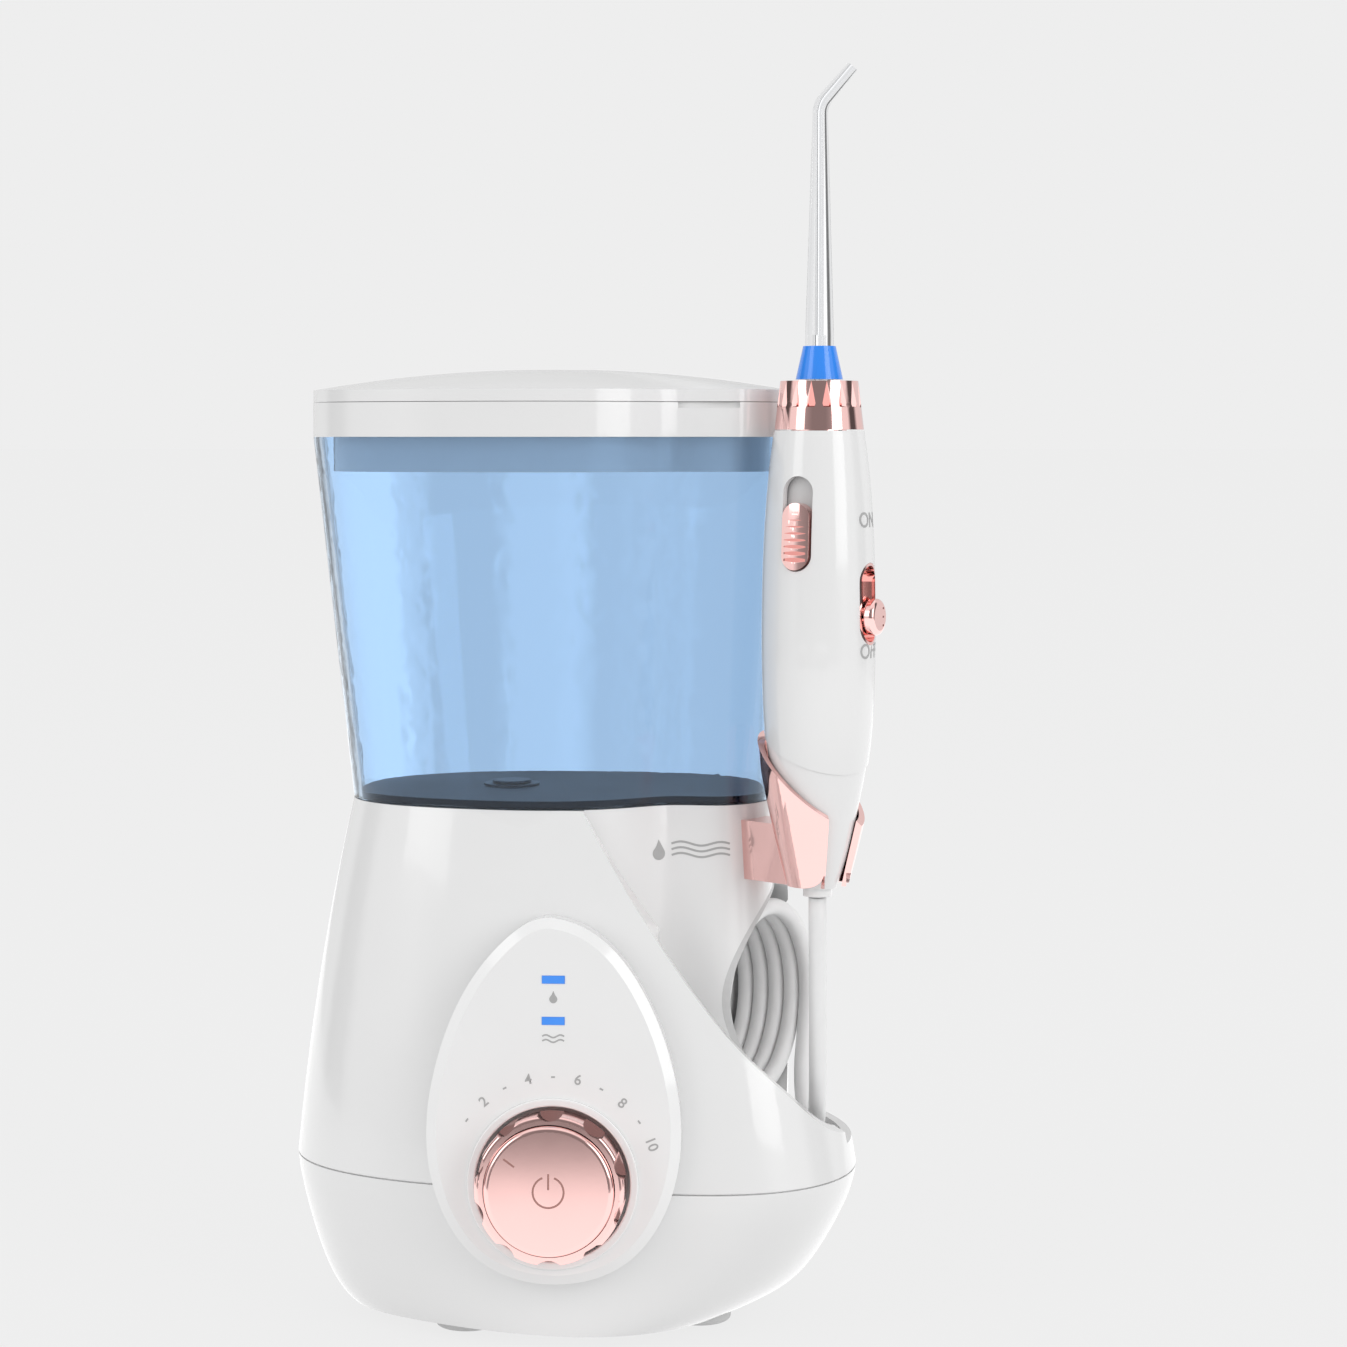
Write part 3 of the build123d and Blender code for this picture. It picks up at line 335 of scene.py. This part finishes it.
def make_materials():
    return {
        "gloss_white": gloss_plastic("gloss_white", (0.81, 0.81, 0.81), (0.83, 0.83, 0.83)),
        "panel_white": gloss_plastic("panel_white", (0.85, 0.85, 0.85), (0.87, 0.87, 0.87)),
        "rose_gold": plated_metal("rose_gold", (0.94, 0.60, 0.57), (0.96, 0.63, 0.60)),
        "tank_blue": clear_plastic("tank_blue", (0.64, 0.80, 0.975), 1.33),
        "tank_dark": dark_plate("tank_dark"),
        "hose_white": silicone("hose_white"),
        "cup_grey": satin_plastic("cup_grey", (0.56, 0.56, 0.56), (0.60, 0.60, 0.60)),
        "rubber_grey": satin_plastic("rubber_grey", (0.55, 0.55, 0.55), (0.62, 0.62, 0.62), (0.6, 0.75)),
        "tip_clear": clear_plastic("tip_clear", (0.985, 0.99, 1.0), 1.4),
        "tip_blue": gloss_plastic("tip_blue", (0.03, 0.25, 0.90), (0.04, 0.29, 0.96)),
        "lens_blue": lit_lens("lens_blue"),
        "steel": plated_metal("steel", (0.52, 0.52, 0.54), (0.60, 0.60, 0.62), (0.22, 0.34)),
        "inner_plastic": satin_plastic("inner_plastic", (0.07, 0.075, 0.085), (0.09, 0.095, 0.105)),
        "board_green": satin_plastic("board_green", (0.01, 0.09, 0.03), (0.02, 0.13, 0.05)),
        "seal_black": satin_plastic("seal_black", (0.01, 0.01, 0.01), (0.02, 0.02, 0.02), (0.55, 0.7)),
        "ink": printed_ink("ink"),
        "rose_dark": plated_metal("rose_dark", (0.50, 0.27, 0.24), (0.55, 0.30, 0.27), (0.2, 0.3)),
    }


def dress_cad(materials):
    """Give every CAD node the material of its slot in the record."""
    for part in frame["record"]["subparts"]:
        mesh = frame["nodes"][part["node"]].data
        mesh.materials.clear()
        mesh.materials.append(materials[part["material_slot"]])


# ---- hose ----
HOSE_D = 4.7 * MM
COIL_CENTRE = Vector((0.0380, 0.0118, 0.0840))
CUP_TURN = math.radians(-24.0)
COIL_R = 25.0 * MM
HANDLE_FOOT = Vector((0.0621, -0.0254, 0.1168))
LOOP_START_DEG = -22.5
LOOP_STEPS = 16           # points in one turn
LOOP_OUT = (12.3 * MM, -8.0 * MM)
LOOP_TURNS = 4.3125


def cup_point(out, along, up):
    """A point in the cup's own directions: out of its mouth, along the wall and up."""
    x = out * math.cos(CUP_TURN) - along * math.sin(CUP_TURN)
    y = out * math.sin(CUP_TURN) + along * math.cos(CUP_TURN)
    return COIL_CENTRE + Vector((x, y, up))


def hose_route():
    """From the handle's foot down the lead, round under the cup's lip, and then the loops, front to back."""
    points = [
        HANDLE_FOOT,
        HANDLE_FOOT + Vector((0.0002, 0.0026, -0.0280)),
        HANDLE_FOOT + Vector((0.0003, 0.0049, -0.0548)),
        cup_point(0.0300, -0.0090, -0.0325),
        cup_point(0.0210, 0.0050, -0.0340),
        cup_point(0.0138, 0.0170, -0.0245),
    ]
    corner = COIL_R / math.cos(math.pi / LOOP_STEPS)
    count = round(LOOP_TURNS * LOOP_STEPS)
    for i in range(count + 1):
        angle = math.radians(LOOP_START_DEG + 360.0 / LOOP_STEPS * i)
        out = LOOP_OUT[0] + (LOOP_OUT[1] - LOOP_OUT[0]) * i / count
        points.append(cup_point(out, corner * math.cos(angle), corner * math.sin(angle)))
    return points


def spline_points(route):
    """Points along the smooth line through a route, read from its NURBS spline."""
    data = bpy.data.curves.new("route", "CURVE")
    data.dimensions = "3D"
    spline = data.splines.new("NURBS")
    spline.points.add(len(route) - 1)
    for point, place in zip(spline.points, route):
        point.co = (*place, 1.0)
    spline.order_u = 3
    spline.use_endpoint_u = True
    spline.resolution_u = 8
    holder = bpy.data.objects.new("route", data)
    mesh = bpy.data.meshes.new_from_object(holder)
    line = [vertex.co.copy() for vertex in mesh.vertices]
    bpy.data.objects.remove(holder)
    bpy.data.curves.remove(data)
    bpy.data.meshes.remove(mesh)
    return line


def tube_mesh(name, line, radius, sides=20):
    """A closed round tube along a line of points, with as little twist as possible."""
    build = bmesh.new()
    rings = []
    along = (line[1] - line[0]).normalized()
    side = along.orthogonal().normalized()
    for i, point in enumerate(line):
        before, after = line[max(i - 1, 0)], line[min(i + 1, len(line) - 1)]
        heading = (after - before).normalized()
        side = (side - heading * side.dot(heading)).normalized()
        other = heading.cross(side)
        ring = []
        for k in range(sides):
            turn = 2 * math.pi * k / sides
            spoke = side * math.cos(turn) + other * math.sin(turn)
            ring.append(build.verts.new(point + spoke * radius))
        rings.append(ring)
    for low, high in zip(rings, rings[1:]):
        for k in range(sides):
            build.faces.new((low[k], low[(k + 1) % sides], high[(k + 1) % sides], high[k]))
    build.faces.new(reversed(rings[0]))
    build.faces.new(rings[-1])
    for face in build.faces:
        face.smooth = len(face.verts) == 4
    return finish_mesh(name, build)


def finish_mesh(name, build):
    """Turn a mesh in the making into an object in the scene."""
    mesh = bpy.data.meshes.new(name)
    bmesh.ops.recalc_face_normals(build, faces=build.faces)
    build.to_mesh(mesh)
    build.free()
    piece = bpy.data.objects.new(name, mesh)
    bpy.context.scene.collection.objects.link(piece)
    return piece


def add_hose(materials):
    line = spline_points(hose_route())
    hose = tube_mesh("hose", line, HOSE_D / 2)
    hose.data.materials.append(materials["hose_white"])
    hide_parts("hose_lead", "hose_coil")
    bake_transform(hose)


# ---- printed and engraved marks ----
PANEL_AT = Vector(JOINTS["dial_turn"]["pos_m"])
PANEL_OUT = Vector(JOINTS["dial_turn"]["axis"])
SCALE_R = 27.2 * MM
SCALE_START_DEG = 144.0
SCALE_STEP_DEG = 13.5
NUMBER_SIZE = 3.7 * MM
DASH = (1.0 * MM, 0.45 * MM)          # length and width
SYMBOL_LINE = 0.5 * MM
MARK_LIFT = 0.06 * MM
ENGRAVED_LIFT = 0.03 * MM


def frame_of(at, out, up=Vector((0, 0, 1))):
    """A matrix whose Z is out, whose Y is as near up as it can be, with its origin at a point."""
    z = out.normalized()
    x = up.cross(z).normalized()
    y = z.cross(x)
    return Matrix.Translation(at) @ Matrix((x, y, z)).transposed().to_4x4()


def text_faces(build, words, size, place):
    """Add a flat word or number, centred at a place, to a mesh in the making."""
    data = bpy.data.curves.new("word", "FONT")
    data.body = words
    data.size = size
    data.align_x = "CENTER"
    data.align_y = "CENTER"
    data.offset = size * 0.012
    holder = bpy.data.objects.new("word", data)
    mesh = bpy.data.meshes.new_from_object(holder)
    mesh.transform(place)
    build.from_mesh(mesh)
    bpy.data.objects.remove(holder)
    bpy.data.curves.remove(data)
    bpy.data.meshes.remove(mesh)


def strip_faces(build, line, width, place):
    """Add a flat ribbon along a line of (x, y) points."""
    corners = []
    for i, point in enumerate(line):
        before, after = line[max(i - 1, 0)], line[min(i + 1, len(line) - 1)]
        along = (Vector(after) - Vector(before)).normalized()
        across = Vector((-along.y, along.x)) * width / 2
        for side in (1, -1):
            corners.append(build.verts.new(place @ Vector((*(Vector(point) + across * side), 0))))
    for i in range(len(line) - 1):
        a, b, c, d = corners[2 * i:2 * i + 4]
        build.faces.new((a, b, d, c))


def disc_faces(build, outline, place):
    """Add a flat filled shape from (x, y) points round its edge."""
    build.faces.new([build.verts.new(place @ Vector((x, y, 0))) for x, y in outline])


def arc(radius, start, end, steps, centre=(0, 0)):
    """Points on an arc between two headings in degrees."""
    points = []
    for i in range(steps + 1):
        angle = math.radians(start + (end - start) * i / steps)
        points.append((centre[0] + radius * math.cos(angle), centre[1] + radius * math.sin(angle)))
    return points


def droplet(height):
    """A water drop's outline, pointed at the top."""
    radius = height * 0.32
    low = arc(radius, 150, 390, 16, (0, -height * 0.5 + radius))
    return low + [(radius * 0.42, height * 0.16), (0, height * 0.5), (-radius * 0.42, height * 0.16)]


def wave(length, rise, steps=18):
    """Points on three half waves."""
    return [(length * (i / steps - 0.5), rise * math.sin(i / steps * 3 * math.pi)) for i in range(steps + 1)]


def press_on(build, node, along, lift=MARK_LIFT):
    """Lay a mesh in the making on a CAD node's surface, moving it along a direction."""
    surface = frame["nodes"][node]
    corners = [vertex.co for vertex in surface.data.vertices]
    tree = BVHTree.FromPolygons(corners, [face.vertices for face in surface.data.polygons])
    back = along.normalized() * 20 * MM
    for vertex in build.verts:
        hit = tree.ray_cast(vertex.co - back, along.normalized(), 60 * MM)
        if hit[0] is not None:
            vertex.co = hit[0] + hit[1].normalized() * lift * (1 if hit[1].dot(along) < 0 else -1)


def finish_marks(name, build, body, material):
    """Turn marks in the making into a piece that moves with a body."""
    bmesh.ops.triangulate(build, faces=build.faces)
    piece = finish_mesh(name, build)
    piece.data.materials.append(material)
    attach(piece, body)


def turned(place, x, y, degrees):
    """A place moved by x and y in its own plane and then turned."""
    return place @ Matrix.Translation((x, y, 0)) @ Matrix.Rotation(math.radians(degrees), 4, "Z")


def add_panel_marks(materials):
    build = bmesh.new()
    place = frame_of(PANEL_AT, PANEL_OUT)
    for i in range(10):
        angle = SCALE_START_DEG - SCALE_STEP_DEG * i
        x, y = SCALE_R * math.cos(math.radians(angle)), SCALE_R * math.sin(math.radians(angle))
        spot = turned(place, x, y, angle - 90)
        if i % 2:
            text_faces(build, str(i + 1), NUMBER_SIZE, spot)
        else:
            strip_faces(build, [(-DASH[0] / 2, 0), (DASH[0] / 2, 0)], DASH[1], spot)
    disc_faces(build, droplet(3.2 * MM), turned(place, 0, 47.6 * MM, 0))
    for y in (36.4, 37.6):
        strip_faces(build, wave(5.6 * MM, 0.35 * MM), 0.4 * MM, turned(place, 0, y * MM, 0))
    press_on(build, "control_panel", -PANEL_OUT)
    finish_marks("panel_marks", build, "base", materials["ink"])


def add_button_marks(materials):
    """Engraved power symbol in the middle of the dial and the short line that points at the scale, laid on the
    face as flat lines in a darker rose: painted shade of the engraved grooves.
    """
    build = bmesh.new()
    place = frame_of(PANEL_AT, PANEL_OUT)
    strip_faces(build, arc(3.9 * MM, 112, 428, 32), SYMBOL_LINE, place)
    strip_faces(build, [(0, 0.6 * MM), (0, 4.6 * MM)], SYMBOL_LINE, place)
    angle = math.radians(SCALE_START_DEG)
    line = [(r * MM * math.cos(angle), r * MM * math.sin(angle)) for r in (10.6, 14.0)]
    strip_faces(build, line, SYMBOL_LINE, place)
    press_on(build, "power_button", -PANEL_OUT, ENGRAVED_LIFT)
    # The darker rose of these flat lines is painted shade of the engraving; there is no groove in the mesh.
    finish_marks("button_marks", build, "power_button", materials["rose_dark"])


def add_handle_marks(materials):
    """ON above and OFF below the flow switch, wrapped on the handle's side."""
    build = bmesh.new()
    low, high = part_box("flow_switch")
    axis = Vector((*JOINTS["collar_spin"]["pos_m"][:2], 0))
    middle = (Vector(low) + Vector(high)) / 2
    out = Vector((middle.x - axis.x, middle.y - axis.y, 0)).normalized()
    for words, z in (("ON", 0.2147), ("OFF", 0.1812)):
        at = axis + out * 0.017 + Vector((0, 0, z))
        text_faces(build, words, 5.4 * MM, frame_of(at, out))
    bmesh.ops.triangulate(build, faces=build.faces)
    bmesh.ops.subdivide_edges(build, edges=build.edges, cuts=1)
    press_on(build, "handle_shell", -out)
    finish_marks("handle_marks", build, "handle", materials["ink"])


def add_body_mark(materials):
    """A plain drop and waves on the column where the real one has its name."""
    build = bmesh.new()
    low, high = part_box("upper_casing")
    at = Vector((0.0315, -0.0240, high[2] - 0.0115))
    out = Vector((0.25, -1.0, 0.0)).normalized()
    place = frame_of(at, out)
    disc_faces(build, droplet(5.4 * MM), turned(place, -9.5 * MM, 0, 0))
    for y in (-1.5, 0.0, 1.5):
        strip_faces(build, wave(15.0 * MM, 0.5 * MM, 30), 0.55 * MM, turned(place, 1.5 * MM, y * MM, 0))
    bmesh.ops.triangulate(build, faces=build.faces)
    press_on(build, "upper_casing", -out)
    finish_marks("body_mark", build, "base", materials["ink"])


aim_camera()
add_stage()
add_world()
add_lights()
MATERIALS = make_materials()
dress_cad(MATERIALS)
add_hose(MATERIALS)
add_panel_marks(MATERIALS)
add_button_marks(MATERIALS)
add_handle_marks(MATERIALS)
add_body_mark(MATERIALS)
